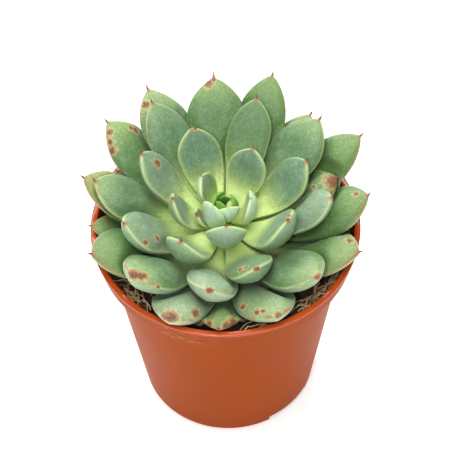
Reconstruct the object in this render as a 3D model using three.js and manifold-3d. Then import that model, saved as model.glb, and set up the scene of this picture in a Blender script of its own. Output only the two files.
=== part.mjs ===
// Potted blue echeveria: a leafy rosette on a short stem, in soil, in a moulded nursery pot.
// Millimetres, +Z up. The origin is the centre of the pot's underside, and -Y faces the viewer.

import * as THREE from 'three';
import Module from 'manifold-3d';

// Pot
const potHeight = 94;
const rimRadius = 52.5;
const lipWidth = 2.5;
const lipThickness = 1;
const wall = 1.2;
const floorThickness = 1.6;
const collarTopRadius = 51.6;
const collarFootRadius = 50.5;
const collarDepth = 9.7;
const shoulderRadius = 46.4;
const shoulderDrop = 1.5;
const footRadius = 34.5;
const footCorner = 1.5;
const potSegments = 64;

// Drain holes in the pot's floor, and the two slots through its bottom corner
const drainHoles = 6;
const drainHoleRadius = 3.5;
const drainCircle = 23;
const cornerSlotDirections = [135, 315];
const cornerSlotWidth = 36;
const cornerSlotHeight = 3.2;
const cornerSlotDepth = 4;

// Soil and stem
const clearance = 0.3;
const soilLevel = 10;
const soilEdgeLevel = 7;
const soilBump = 0.9;
const soilSegments = 40;
const stemRadius = 6.2;
const stemDepth = 24;
const stemHoleDepth = 26;
const stemTop = 7;

// Leaves
const leafStations = 9;
const leafSides = 8;
const leafThickness = 0.32;
const leafCup = 0.12;
const youngPad = 0.05;
const oldPad = 0.21;
const widestAt = 0.68;
const baseWidth = 0.34;
const youngestBase = 5;
const oldestBase = -6;
const lean = 9;
const pointLength = 1.4;

// One row for each leaf, youngest first, as the plant grew them:
// direction, reach from the middle, height of the tip over the rim, width, slope at the tip, roll.
const leafRows = [
  [223, 6, 18, 12, 98, 0],
  [352, 10, 18, 14, 92, 0],
  [197, 11, 12, 9, 90, 0],
  [128, 14, 17, 14, 76, 35],
  [271, 16, 20, 16, 98, 0],
  [60, 23, 22, 16, 66, 0],
  [188, 20, 21, 14, 88, 0],
  [233, 28, 20, 18, 100, 0],
  [327, 28, 22, 20, 84, 0],
  [112, 32, 24, 18, 62, 0],
  [21, 34, 23, 18, 66, 0],
  [151, 36, 24, 17, 70, 12],
  [288, 37, 19, 18, 72, 12],
  [72, 44, 26, 17, 54, 0],
  [354, 41, 21, 18, 62, 0],
  [201, 41, 22, 20, 70, 0],
  [123, 50, 25, 18, 48, 0],
  [260, 43, 16, 20, 66, -14],
  [41, 50, 23, 22, 48, 0],
  [172, 50, 21, 20, 56, 0],
  [312, 51, 17, 22, 54, 0],
  [226, 51, 20, 23, 66, 0],
  [93, 57, 22, 24, 38, 0],
  [17, 46, 11, 20, 36, 0],
  [119, 60, 21, 21, 36, 0],
  [70, 59, 24, 20, 36, 0],
  [140, 59, 19, 21, 36, 0],
  [1, 55, 15, 22, 54, 0],
  [166, 56, 15, 21, 42, 0],
  [336, 55, 10, 24, 40, 0],
  [202, 55, 11, 25, 42, 0],
  [50, 54, 16, 19, 40, 0],
  [291, 53, 8, 23, 46, 0],
  [245, 54, 8, 22, 50, 0],
  [27, 60, 19, 21, 34, 0],
  [107, 51, 10, 19, 34, 0],
  [181, 52, 3, 17, 24, 0],
  [266, 51, 3, 20, 32, 0],
  [80, 48, 7, 18, 30, 0],
  [150, 48, 5, 18, 28, 0],
];

// The smallest leaves, still closed round the growing tip
const heartLeaves = 5;
const heartTurn = 137.5;
const heartFirst = 92;

const wasm = await Module();
wasm.setup();

const radians = (degrees) => (degrees * Math.PI) / 180;

function random(seed) {
  let state = seed;
  return () => {
    state = (state * 1664525 + 1013904223) % 4294967296;
    return state / 4294967296;
  };
}

// A closed solid from rings of equal count, each a list of Vector3, and a point at either end.
function solidFromRings(start, rings, end) {
  const count = rings[0].length;
  const points = [start, ...rings.flat(), end];
  const last = points.length - 1;
  const faces = [];
  for (let side = 0; side < count; side += 1) {
    const next = (side + 1) % count;
    faces.push(0, 1 + next, 1 + side);
    for (let ring = 0; ring < rings.length - 1; ring += 1) {
      const low = 1 + ring * count;
      const high = low + count;
      faces.push(low + side, low + next, high + next);
      faces.push(low + side, high + next, high + side);
    }
    const top = 1 + (rings.length - 1) * count;
    faces.push(last, top + side, top + next);
  }
  return solidFromPoints(points, faces);
}

function solidFromPoints(points, faces) {
  const vertProperties = new Float32Array(points.flatMap((p) => [p.x, p.y, p.z]));
  const triVerts = new Uint32Array(faces);
  return new wasm.Manifold(new wasm.Mesh({ numProp: 3, vertProperties, triVerts }));
}

// A turned solid: the outline runs from the axis at the bottom to the axis at the top.
function turned(outline, segments, shift) {
  const rings = outline.slice(1, -1).map(([radius, height], level) =>
    Array.from({ length: segments }, (_, side) => {
      const angle = (2 * Math.PI * side) / segments;
      const rise = shift ? shift(level, side) : 0;
      return new THREE.Vector3(radius * Math.cos(angle), radius * Math.sin(angle), height + rise);
    }));
  const first = outline[0];
  const final = outline[outline.length - 1];
  return solidFromRings(new THREE.Vector3(0, 0, first[1]), rings, new THREE.Vector3(0, 0, final[1]));
}

// A ring sector, used to cut the slots.
function sector(innerRadius, outerRadius, low, high, direction, width) {
  const shape = new THREE.Shape();
  const from = radians(direction - width / 2);
  const to = radians(direction + width / 2);
  shape.absarc(0, 0, outerRadius, from, to, false);
  shape.absarc(0, 0, innerRadius, to, from, true);
  const block = new THREE.ExtrudeGeometry(shape, { depth: high - low, bevelEnabled: false, curveSegments: 8 });
  block.translate(0, 0, low);
  return solidFromGeometry(block);
}

function solidFromGeometry(geometry) {
  const seen = new Map();
  const points = [];
  const position = geometry.attributes.position;
  const index = geometry.index;
  const faces = [];
  const count = index ? index.count : position.count;
  for (let i = 0; i < count; i += 1) {
    const p = new THREE.Vector3().fromBufferAttribute(position, index ? index.getX(i) : i);
    const key = p.toArray().map((value) => value.toFixed(4)).join();
    if (!seen.has(key)) {
      seen.set(key, points.length);
      points.push(p);
    }
    faces.push(seen.get(key));
  }
  const kept = [];
  for (let i = 0; i < faces.length; i += 3) {
    const [a, b, c] = faces.slice(i, i + 3);
    if (a !== b && b !== c && c !== a) {
      kept.push(a, b, c);
    }
  }
  return solidFromPoints(points, kept);
}

// The pot's inside, from the floor up, at a distance from the wall.
function potInside(gap, top) {
  const shoulder = potHeight - collarDepth - shoulderDrop;
  const collarSlope = (collarTopRadius - collarFootRadius) / (collarDepth - lipThickness);
  const ledge = potHeight - collarDepth + wall + gap;
  const topRadius = collarFootRadius - wall - gap + collarSlope * (top - ledge);
  return [
    [0, floorThickness + gap],
    [footRadius - wall - gap, floorThickness + gap],
    [shoulderRadius - wall - gap, shoulder + wall + gap],
    [collarFootRadius - wall - gap, ledge],
    [topRadius, top],
    [0, top],
  ];
}

function makePot() {
  const shoulder = potHeight - collarDepth - shoulderDrop;
  const underLip = potHeight - lipThickness;
  const outside = [
    [0, 0],
    [footRadius - footCorner, 0],
    [footRadius - 0.4 * footCorner, 0.3 * footCorner],
    [footRadius, footCorner],
    [shoulderRadius, shoulder],
    [collarFootRadius, shoulder + shoulderDrop],
    [collarTopRadius, underLip],
    [rimRadius - 0.3, underLip],
    [rimRadius, underLip + 0.3],
    [rimRadius, potHeight - 0.3],
    [rimRadius - 0.3, potHeight],
    [0, potHeight],
  ];
  const inside = potInside(0, potHeight + 1);
  inside[4][0] = rimRadius - lipWidth;
  let pot = turned(outside, potSegments).subtract(turned(inside, potSegments));
  for (let hole = 0; hole < drainHoles; hole += 1) {
    const angle = radians(hole * (360 / drainHoles));
    const drill = new THREE.CylinderGeometry(drainHoleRadius, drainHoleRadius, 4 * floorThickness, 20);
    drill.rotateX(Math.PI / 2);
    drill.translate(drainCircle * Math.cos(angle), drainCircle * Math.sin(angle), 0);
    pot = pot.subtract(solidFromGeometry(drill));
  }
  for (const direction of cornerSlotDirections) {
    const inner = footRadius - cornerSlotDepth;
    pot = pot.subtract(sector(inner, footRadius + 3, -1, cornerSlotHeight, direction, cornerSlotWidth));
  }
  return pot;
}

// The soil is dished: it covers the ledge inside the collar and lies lower in the middle.
function makeSoil() {
  const draw = random(7);
  const top = potHeight - soilLevel;
  const outline = potInside(clearance, potHeight - soilEdgeLevel);
  const edge = outline[4][0];
  outline.pop();
  const rings = 5;
  const firstTopRing = outline.length - 1;
  for (let ring = 1; ring <= rings; ring += 1) {
    outline.push([edge * (1 - ring / (rings + 1)), top]);
  }
  outline.push([0, top]);
  const shift = (level) => (level >= firstTopRing ? soilBump * (draw() - 0.5) * 2 : 0);
  const hole = turned([
    [0, top - stemHoleDepth],
    [stemRadius + clearance, top - stemHoleDepth],
    [stemRadius + clearance, top + 5],
    [0, top + 5],
  ], 24);
  return turned(outline, soilSegments, shift).subtract(hole);
}

function stemOutline(gap) {
  const bottom = potHeight - soilLevel - stemDepth;
  return [
    [0, bottom - gap],
    [0.6 * stemRadius + gap, bottom - gap],
    [stemRadius - 0.4 + gap, bottom + 4],
    [stemRadius - 0.4 + gap, potHeight - 6],
    [0.8 * stemRadius + gap, potHeight],
    [0.45 * stemRadius + gap, potHeight + stemTop - 1.5],
    [0.3 * stemRadius + gap, potHeight + stemTop + gap],
    [0, potHeight + stemTop + gap],
  ];
}

// Width and thickness along a leaf, as fractions, from its base at 0 to its tip at 1.
function widthAt(s) {
  if (s < widestAt) {
    return baseWidth + (1 - baseWidth) * Math.sin((0.5 * Math.PI * s) / widestAt) ** 1.8;
  }
  const u = (s - widestAt) / (1 - widestAt);
  return (1 - u ** 2.4) ** 0.8;
}

function thicknessAt(s) {
  if (s < 0.6) {
    return 0.5 + 0.5 * Math.sin((0.5 * Math.PI * s) / 0.6);
  }
  return (1 - ((s - 0.6) / 0.4) ** 2.4) ** 0.6;
}

// How far the flesh swells on top towards a leaf's tip: most on the old leaves that face the light,
// half as much on those that stand behind.
function padAt(row, age) {
  const behind = THREE.MathUtils.smoothstep(Math.sin(radians(row[0])), 0.3, 0.9);
  const swollen = THREE.MathUtils.smoothstep(age, 0.12, 0.4) * (1 - 0.5 * behind);
  return THREE.MathUtils.lerp(youngPad, oldPad, swollen) * row[3];
}

// A leaf curves up in its own vertical plane. It is dished above and keeled below.
function makeLeaf(row, baseHeight, padHeight, grow) {
  const [direction, reach, tipHeight, width, tipSlope, roll] = row;
  const outward = new THREE.Vector3(Math.cos(radians(direction)), Math.sin(radians(direction)), 0);
  const sideways = new THREE.Vector3(-outward.y, outward.x, 0);
  const up = new THREE.Vector3(0, 0, 1);
  const place = (r, z) => outward.clone().multiplyScalar(r).addScaledVector(up, z);
  const baseRadius = 2 + 3.4 * Math.min(1, reach / 50);
  const base = place(baseRadius, potHeight + baseHeight);
  const tip = place(reach, potHeight + tipHeight);
  const handle = 0.38 * base.distanceTo(tip);
  const baseSlope = radians(lean * Math.sin(radians(direction)) + Math.max(0, 24 - reach));
  const endSlope = radians(tipSlope);
  const curve = new THREE.CubicBezierCurve3(
    base,
    base.clone().add(place(handle * Math.cos(baseSlope), handle * Math.sin(baseSlope))),
    tip.clone().sub(place(handle * Math.cos(endSlope), handle * Math.sin(endSlope))),
    tip,
  );
  const rings = [];
  let forward = null;
  for (let station = 0; station < leafStations; station += 1) {
    const s = 1 - (1 - station / (leafStations - 1)) ** 1.25;
    const centre = curve.getPoint(s);
    forward = curve.getTangent(s);
    const flat = new THREE.Vector3().crossVectors(forward, sideways).normalize();
    const across = sideways.clone().applyAxisAngle(forward, radians(roll));
    const upper = flat.applyAxisAngle(forward, radians(roll));
    const half = Math.max(0.5 * width * widthAt(s), 0.025 * width) + 1.5 * grow;
    const deep = Math.max(leafThickness * width * thicknessAt(s), 0.8);
    const atTip = THREE.MathUtils.smoothstep(s, 0.5, 0.92);
    const crown = 0.12 + 0.18 * atTip;
    const cup = leafCup * width * widthAt(s) * Math.sin(0.62 * Math.PI * s) ** 1.2 * (1 - 0.5 * atTip);
    const pad = padHeight * THREE.MathUtils.smoothstep(s, 0.45, 0.65) * (1 - Math.max(0, (s - 0.74) / 0.26) ** 2);
    rings.push(Array.from({ length: leafSides }, (_, side) => {
      const angle = (2 * Math.PI * side) / leafSides;
      const u = Math.cos(angle);
      const v = Math.sin(angle);
      const above = crown * deep * v + pad * (1 - Math.abs(u) ** 3) ** 0.8 + grow;
      const below = (1 - crown) * deep * (0.65 * Math.abs(v) + 0.35 * (1 - Math.abs(u))) + grow;
      const rise = v > 1e-6 ? above : v < -1e-6 ? -below : 0.6 * grow;
      return centre.clone().addScaledVector(across, half * u).addScaledVector(upper, rise + cup * u * u);
    }));
  }
  const start = curve.getPoint(0).addScaledVector(curve.getTangent(0), -grow);
  const point = tip.clone().addScaledVector(forward, pointLength + grow);
  return solidFromRings(start, rings, point);
}

function heartRow(leaf) {
  return [heartFirst + leaf * heartTurn, 1.4 + 0.7 * leaf, 16.5 - 0.1 * leaf, 4.5 + 1.4 * leaf, 90, 0];
}

function makeHeart(grow) {
  const bottom = potHeight + stemTop + clearance;
  let heart = turned([
    [0, bottom - grow],
    [2.6 + grow, bottom - grow],
    [2.9 + grow, potHeight + 9.5],
    [1.6 + grow, potHeight + 12],
    [0, potHeight + 14 + grow],
  ], 12);
  for (let leaf = 0; leaf < heartLeaves; leaf += 1) {
    heart = heart.add(makeLeaf(heartRow(leaf), 9, 0, grow));
  }
  return heart;
}

// The largest piece of a cut solid; thin scraps beside it are dropped.
function largest(solid) {
  return solid.decompose().sort((a, b) => b.volume() - a.volume())[0];
}

function meshFrom(name, solid, color, roughness) {
  const { numProp, vertProperties, triVerts } = solid.getMesh();
  const positions = [];
  for (let i = 0; i < vertProperties.length; i += numProp) {
    positions.push(vertProperties[i], vertProperties[i + 1], vertProperties[i + 2]);
  }
  const geometry = new THREE.BufferGeometry();
  geometry.setAttribute('position', new THREE.Float32BufferAttribute(positions, 3));
  geometry.setIndex(Array.from(triVerts));
  const mesh = new THREE.Mesh(geometry, new THREE.MeshStandardMaterial({ color, roughness }));
  mesh.name = name;
  return mesh;
}

const group = new THREE.Group();
group.name = 'potted_echeveria';

const pot = makePot();
const soil = makeSoil();
const stem = turned(stemOutline(0), 24);
const heart = makeHeart(0).subtract(turned(stemOutline(clearance), 24));
group.add(meshFrom('pot', pot, 0xb4602f, 0.5));
group.add(meshFrom('soil', soil, 0x2b2320, 0.95));
group.add(meshFrom('stem', stem, 0x7d7a4c, 0.8));
group.add(meshFrom('heart', heart, 0x9fbf6a, 0.6));

// What a leaf has to leave room for: first the pot, soil, stem and heart, then every younger leaf.
const mouthRadius = rimRadius - lipWidth;
const potGrown = turned([
  [0, potHeight - soilLevel],
  [rimRadius + clearance, potHeight - soilLevel],
  [rimRadius + clearance, potHeight + clearance],
  [0, potHeight + clearance],
], potSegments).subtract(turned([
  [0, potHeight - soilLevel - 1],
  [collarFootRadius - wall - 2 * clearance, potHeight - soilLevel - 1],
  [mouthRadius - clearance, potHeight - lipThickness],
  [mouthRadius - clearance, potHeight + 1],
  [0, potHeight + 1],
], potSegments));
const soilGrown = turned(potInside(clearance, potHeight - soilLevel + soilBump + clearance), soilSegments);
const taken = [potGrown, soilGrown, turned(stemOutline(clearance), 24), makeHeart(clearance)];
leafRows.forEach((row, index) => {
  const age = index / (leafRows.length - 1);
  const baseHeight = THREE.MathUtils.lerp(youngestBase, oldestBase, age);
  const padHeight = padAt(row, age);
  let leaf = makeLeaf(row, baseHeight, padHeight, 0);
  for (const other of taken) {
    leaf = leaf.subtract(other);
  }
  leaf = largest(leaf);
  taken.push(makeLeaf(row, baseHeight, padHeight, clearance));
  const name = `leaf_${String(index + 1).padStart(2, '0')}`;
  group.add(meshFrom(name, leaf, 0x7d9a78, 0.6));
});

export default group;
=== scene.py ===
import math
import random

import bmesh
import bpy
import numpy as np
from mathutils import Matrix, Vector, noise
from mathutils.bvhtree import BVHTree


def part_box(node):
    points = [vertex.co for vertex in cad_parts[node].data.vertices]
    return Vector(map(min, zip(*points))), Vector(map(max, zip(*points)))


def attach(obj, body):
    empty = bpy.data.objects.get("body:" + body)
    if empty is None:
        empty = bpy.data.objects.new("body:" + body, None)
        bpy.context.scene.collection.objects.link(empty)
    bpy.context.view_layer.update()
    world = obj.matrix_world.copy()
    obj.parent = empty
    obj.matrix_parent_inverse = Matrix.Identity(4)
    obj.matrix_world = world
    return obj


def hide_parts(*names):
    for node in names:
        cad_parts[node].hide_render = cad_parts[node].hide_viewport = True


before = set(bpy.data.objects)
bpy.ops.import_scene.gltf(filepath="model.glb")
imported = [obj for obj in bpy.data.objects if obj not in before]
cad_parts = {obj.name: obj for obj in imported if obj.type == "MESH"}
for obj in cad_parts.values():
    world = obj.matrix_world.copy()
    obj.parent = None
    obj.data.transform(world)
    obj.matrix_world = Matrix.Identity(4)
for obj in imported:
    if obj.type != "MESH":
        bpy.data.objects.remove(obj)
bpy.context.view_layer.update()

# The pot: one thin piece of injection-moulded polypropylene, tapered so that pots stack,
# with a collar to lift it by and a flat lip. Drain holes are moulded in its floor, and two
# slots run through its bottom corner. Lengths are in millimetres, up to the table at the end.
MM = 0.001
pot_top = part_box("pot")[1][2] / MM
rim_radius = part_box("pot")[1][0] / MM
lip_width = 2.5
lip_thickness = 1.0
wall = 1.2
floor_thickness = 1.6
collar_top_radius = 51.6
collar_foot_radius = 50.5
collar_foot = pot_top - 9.7
shoulder_radius = 46.4
shoulder = collar_foot - 1.5
foot_radius = 34.5
foot_bevel = 1.2
heel_height = 2.2
heel_flare = 0.3
inner_lip_depth = 1.6
polished_depth = 1.4
pot_sides = 240
drain_holes = 6
drain_hole_radius = 3.5
drain_circle = 23.0
slot_directions = (135, 315)
slot_width_degrees = 36
slot_height = 4.6
slot_depth = 4.0
slot_steps = 12
cutter_reach = 3.0
sharp_edge = math.radians(38)


def rounded(outline, steps=5):
    """The outline's points, with each corner (radius, height, round) rounded off."""
    points = []
    for i, (radius, height, size) in enumerate(outline):
        corner = Vector((radius, height))
        if not size:
            points.append(corner)
            continue
        before = Vector(outline[i - 1][:2]) - corner
        after = Vector(outline[i + 1][:2]) - corner
        start = corner + before.normalized() * min(size, 0.45 * before.length)
        end = corner + after.normalized() * min(size, 0.45 * after.length)
        for step in range(steps + 1):
            t = step / steps
            points.append(start * (1 - t) ** 2 + corner * 2 * t * (1 - t) + end * t * t)
    return points


def turned(name, points, segments, shift=None):
    """A solid turned round Z from points that start and end on the axis."""
    shape = bmesh.new()
    rings = []
    for level, (radius, height) in enumerate(points[1:-1]):
        ring = []
        for side in range(segments):
            angle = 2 * math.pi * side / segments
            x, y = radius * math.cos(angle), radius * math.sin(angle)
            rise = shift(level, x, y) if shift else 0.0
            ring.append(shape.verts.new((x * MM, y * MM, (height + rise) * MM)))
        rings.append(ring)
    bottom = shape.verts.new((0, 0, points[0][1] * MM))
    top = shape.verts.new((0, 0, points[-1][1] * MM))
    for side in range(segments):
        after = (side + 1) % segments
        shape.faces.new((bottom, rings[0][after], rings[0][side]))
        shape.faces.new((top, rings[-1][side], rings[-1][after]))
        for low, high in zip(rings, rings[1:]):
            shape.faces.new((low[side], low[after], high[after], high[side]))
    mesh = bpy.data.meshes.new(name)
    shape.to_mesh(mesh)
    shape.free()
    return mesh


def placed(name, mesh):
    """An object at the origin that holds the mesh, shaded smooth between sharp edges."""
    mesh.shade_smooth()
    mesh.set_sharp_from_angle(angle=sharp_edge)
    made = bpy.data.objects.new(name, mesh)
    bpy.context.scene.collection.objects.link(made)
    return made


def finished(made):
    """The object's mesh with its modifiers worked out; the object itself is removed."""
    name = made.name
    made.name = name + "_blank"
    evaluated = made.evaluated_get(bpy.context.evaluated_depsgraph_get())
    mesh = bpy.data.meshes.new_from_object(evaluated)
    mesh.name = name
    bpy.data.objects.remove(made)
    return mesh


def linear(code):
    """A hex colour as Blender's linear red, green, blue and alpha."""
    parts = [int(code[i:i + 2], 16) / 255 for i in (1, 3, 5)]
    return [c / 12.92 if c <= 0.04045 else ((c + 0.055) / 1.055) ** 2.4 for c in parts] + [1.0]


def add(tree, kind, inputs=None, **settings):
    """One node with its settings; an input is a value or another node's output."""
    made = tree.nodes.new(kind)
    for name, value in settings.items():
        setattr(made, name, value)
    for socket, value in (inputs or {}).items():
        if isinstance(value, bpy.types.NodeSocket):
            tree.links.new(value, made.inputs[socket])
        else:
            made.inputs[socket].default_value = value
    return made


def new_material(name):
    """An empty material, its node tree and its Principled shader joined to the output."""
    material = bpy.data.materials.new(name)
    material.use_nodes = True
    tree = material.node_tree
    tree.nodes.clear()
    shader = add(tree, "ShaderNodeBsdfPrincipled")
    add(tree, "ShaderNodeOutputMaterial", {"Surface": shader.outputs[0]})
    return material, tree, shader


def moulded_polypropylene():
    """Satin orange-brown plastic: faint flow clouds, a scuffed patch, and specks of dust and soil."""
    material, tree, shader = new_material("moulded_polypropylene")
    place = add(tree, "ShaderNodeTexCoord").outputs["Object"]
    clouds = add(tree, "ShaderNodeTexNoise", {"Vector": place, "Scale": 28.0, "Detail": 4.0})
    colour = add(tree, "ShaderNodeMix", {
        "Factor": clouds.outputs["Fac"], 6: linear("#913c04"), 7: linear("#a04608")}, data_type="RGBA")
    # Fine scratches lie under the collar at the front left, as handling leaves them.
    patch = add(tree, "ShaderNodeVectorMath", {0: place, 1: (-0.0165, -0.047, 0.084)}, operation="DISTANCE")
    near = add(tree, "ShaderNodeMapRange", {
        "Value": patch.outputs["Value"], "From Min": 0.014, "From Max": 0.004, "To Max": 0.6})
    streak = add(tree, "ShaderNodeMapping", {"Vector": place, "Scale": (300.0, 300.0, 1100.0)})
    scratch = add(tree, "ShaderNodeTexNoise", {"Vector": streak.outputs[0], "Scale": 1.0, "Detail": 3.0})
    worn = add(tree, "ShaderNodeMapRange", {
        "Value": scratch.outputs["Fac"], "From Min": 0.54, "From Max": 0.66})
    scuff = add(tree, "ShaderNodeMath", {0: near.outputs[0], 1: worn.outputs[0]}, operation="MULTIPLY")
    dusty = add(tree, "ShaderNodeMix", {
        "Factor": scuff.outputs[0], 6: colour.outputs[2], 7: linear("#cf8a63")}, data_type="RGBA")
    # Each speck sits in a cell of its own, about 9 mm wide; half of the cells have a dark or a pale one.
    cells = add(tree, "ShaderNodeTexVoronoi", {"Vector": place, "Scale": 110.0})
    draw = add(tree, "ShaderNodeSeparateColor", {0: cells.outputs["Color"]})
    spot = add(tree, "ShaderNodeMapRange", {
        "Value": cells.outputs["Distance"], "From Min": 0.07, "From Max": 0.03, "To Max": 0.8})
    bearing = add(tree, "ShaderNodeMath", {0: draw.outputs[0], 1: 0.5}, operation="GREATER_THAN")
    speck = add(tree, "ShaderNodeMath", {0: spot.outputs[0], 1: bearing.outputs[0]}, operation="MULTIPLY")
    tone = add(tree, "ShaderNodeMath", {0: draw.outputs[1], 1: 0.6}, operation="GREATER_THAN")
    dirt = add(tree, "ShaderNodeMix", {
        "Factor": tone.outputs[0], 6: linear("#4f2410"), 7: linear("#d79f7c")}, data_type="RGBA")
    specked = add(tree, "ShaderNodeMix", {
        "Factor": speck.outputs[0], 6: dusty.outputs[2], 7: dirt.outputs[2]}, data_type="RGBA")
    tree.links.new(specked.outputs[2], shader.inputs["Base Color"])
    grain = add(tree, "ShaderNodeTexNoise", {"Vector": place, "Scale": 1400.0, "Detail": 2.0})
    satin = add(tree, "ShaderNodeMapRange", {
        "Value": clouds.outputs["Fac"], "From Min": 0.3, "From Max": 0.7, "To Min": 0.42, "To Max": 0.52})
    tree.links.new(satin.outputs[0], shader.inputs["Roughness"])
    relief = add(tree, "ShaderNodeBump", {
        "Height": grain.outputs["Fac"], "Strength": 0.12, "Distance": 0.0001})
    tree.links.new(relief.outputs[0], shader.inputs["Normal"])
    # Under the 1.49 of the plastic itself, because its fine grain keeps the wall's edges from shining.
    shader.inputs["IOR"].default_value = 1.15
    shader.inputs["Specular IOR Level"].default_value = 0.3
    return material


def polished_lip_painted_glow():
    """The same plastic where the mould was polished, and glossy; its brighter colour is painted light: the
    glow of light through the thin plastic and on the lip's lit top.
    """
    material, tree, shader = new_material("polished_lip_painted_glow")
    place = add(tree, "ShaderNodeTexCoord").outputs["Object"]
    clouds = add(tree, "ShaderNodeTexNoise", {"Vector": place, "Scale": 90.0, "Detail": 3.0})
    colour = add(tree, "ShaderNodeMix", {
        # Painted glow: these colours are brighter than the wall's, for light through the thin lip and on its
        # top.
        "Factor": clouds.outputs["Fac"], 6: linear("#b23f0b"), 7: linear("#c24c10")}, data_type="RGBA")
    tree.links.new(colour.outputs[2], shader.inputs["Base Color"])
    gloss = add(tree, "ShaderNodeMapRange", {
        "Value": clouds.outputs["Fac"], "From Min": 0.35, "From Max": 0.65, "To Min": 0.08, "To Max": 0.2})
    tree.links.new(gloss.outputs[0], shader.inputs["Roughness"])
    shader.inputs["IOR"].default_value = 1.49
    shader.inputs["Specular IOR Level"].default_value = 0.5
    return material


pot_outline = rounded([
    (0, 0, 0),
    (foot_radius - foot_bevel, 0, 1.0),
    (foot_radius + heel_flare, heel_height, 1.0),
    (shoulder_radius, shoulder, 0.8),
    (collar_foot_radius, collar_foot, 0.8),
    (collar_top_radius, pot_top - lip_thickness, 0.3),
    (rim_radius, pot_top - lip_thickness, 0.4),
    (rim_radius, pot_top, 0.8),
    (rim_radius - lip_width, pot_top, 0.8),
    (rim_radius - lip_width, pot_top - inner_lip_depth, 0.4),
    (collar_foot_radius - wall, collar_foot + wall, 0.8),
    (shoulder_radius - wall, shoulder + wall, 0.8),
    (foot_radius - wall, floor_thickness, 1.5),
    (0, floor_thickness, 0),
])
pot = placed("pot_body", turned("pot_body", pot_outline, pot_sides))
cutter_shape = bmesh.new()
for hole in range(drain_holes):
    angle = math.radians(360 / drain_holes * hole)
    centre = Vector((drain_circle * math.cos(angle), drain_circle * math.sin(angle), 0)) * MM
    bmesh.ops.create_cone(
        cutter_shape, cap_ends=True, segments=40, depth=5 * floor_thickness * MM,
        radius1=drain_hole_radius * MM, radius2=drain_hole_radius * MM, matrix=Matrix.Translation(centre))
for direction in slot_directions:
    corners = []
    inmost, outmost = foot_radius - slot_depth, foot_radius + cutter_reach
    for step in range(slot_steps + 1):
        angle = math.radians(direction + slot_width_degrees * (step / slot_steps - 0.5))
        section = [Vector((r * math.cos(angle), r * math.sin(angle), z)) * MM
                   for r, z in ((inmost, -1), (outmost, -1), (outmost, slot_height), (inmost, slot_height))]
        corners.append([cutter_shape.verts.new(point) for point in section])
    for first, second in zip(corners, corners[1:]):
        for i in range(4):
            j = (i + 1) % 4
            cutter_shape.faces.new((first[i], first[j], second[j], second[i]))
    cutter_shape.faces.new(corners[0][::-1])
    cutter_shape.faces.new(corners[-1])
bmesh.ops.recalc_face_normals(cutter_shape, faces=cutter_shape.faces)
cutter_mesh = bpy.data.meshes.new("pot_cutter")
cutter_shape.to_mesh(cutter_mesh)
cutter_shape.free()
cutter = placed("pot_cutter", cutter_mesh)
cut = pot.modifiers.new("drainage", "BOOLEAN")
cut.operation = "DIFFERENCE"
cut.solver = "EXACT"
cut.object = cutter
pot = placed("pot_body", finished(pot))
bpy.data.objects.remove(cutter)
pot.data.materials.append(moulded_polypropylene())
pot.data.materials.append(polished_lip_painted_glow())
# The lip's top takes the glossy plastic with its painted glow.
for face in pot.data.polygons:
    face.material_index = 1 if face.center.z > (pot_top - polished_depth) * MM else 0
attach(pot, "root")
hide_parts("pot")

# The soil: damp dark peat and bark, pressed in by hand and dished, with loose crumbs on top.
# It fills the pot below, covers the ledge inside the collar and stays a hair clear of the wall.
soil_level = pot_top - 10.0
soil_edge_rise = 3.2
dish_radius = 39.0
dish_slope_width = 8.5
soil_gap = 0.3
soil_lump_width = 9.0
soil_lump_height = 1.1
soil_sides = 144
soil_rings = 30


def soil_rise(x, y):
    """How far the lumpy soil stands over its level at a place."""
    lumps = noise.fractal(Vector((x, y, 3.0)) / soil_lump_width, 1.0, 2.0, 4)
    return soil_lump_height * lumps + 0.3 * math.sin(x / 11) - 0.2


def damp_peat():
    """Damp peat: near-black brown and dull, each crumb its own shade, and a few of bark pale."""
    material, tree, shader = new_material("damp_peat")
    place = add(tree, "ShaderNodeTexCoord").outputs["Object"]
    fine = add(tree, "ShaderNodeTexNoise", {"Vector": place, "Scale": 900.0, "Detail": 6.0, "Roughness": 0.7})
    tone = add(tree, "ShaderNodeAttribute", attribute_name="tone")
    dark = add(tree, "ShaderNodeMix", {
        "Factor": fine.outputs["Fac"], 6: linear("#2a211c"), 7: linear("#6b584a")}, data_type="RGBA")
    light = add(tree, "ShaderNodeMapRange", {"Value": tone.outputs["Fac"], "From Min": 0.9, "From Max": 0.96})
    pale = add(tree, "ShaderNodeMix", {
        "Factor": light.outputs[0], 6: dark.outputs[2], 7: linear("#a78d78")}, data_type="RGBA")
    brown = add(tree, "ShaderNodeMapRange", {
        "Value": tone.outputs["Fac"], "From Min": 0.55, "From Max": 0.75, "To Max": 0.6})
    mixed = add(tree, "ShaderNodeMix", {
        "Factor": brown.outputs[0], 6: pale.outputs[2], 7: linear("#5a4434")}, data_type="RGBA")
    last = add(tree, "ShaderNodeMix", {
        "Factor": light.outputs[0], 6: mixed.outputs[2], 7: pale.outputs[2]}, data_type="RGBA")
    tree.links.new(last.outputs[2], shader.inputs["Base Color"])
    relief = add(tree, "ShaderNodeBump", {"Height": fine.outputs["Fac"], "Strength": 0.7, "Distance": 0.0006})
    tree.links.new(relief.outputs[0], shader.inputs["Normal"])
    shader.inputs["Roughness"].default_value = 0.9
    shader.inputs["Specular IOR Level"].default_value = 0.25
    return material


soil_outline = [Vector(point) for point in (
    (0, floor_thickness + soil_gap),
    (foot_radius - wall - soil_gap, floor_thickness + soil_gap),
    (shoulder_radius - wall - soil_gap, shoulder + wall),
    (collar_foot_radius - wall - 2 * soil_gap, collar_foot + wall + soil_gap),
)]
soil_edge = collar_foot_radius - wall - soil_gap
for ring in range(soil_rings):
    radius = soil_edge * (1 - ring / soil_rings)
    slope = min(max((radius - dish_radius) / dish_slope_width, 0.0), 1.0)
    soil_outline.append(Vector((radius, soil_level + soil_edge_rise * slope * slope * (3 - 2 * slope))))
soil_outline.append(Vector((0, soil_level)))
peat = damp_peat()
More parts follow.
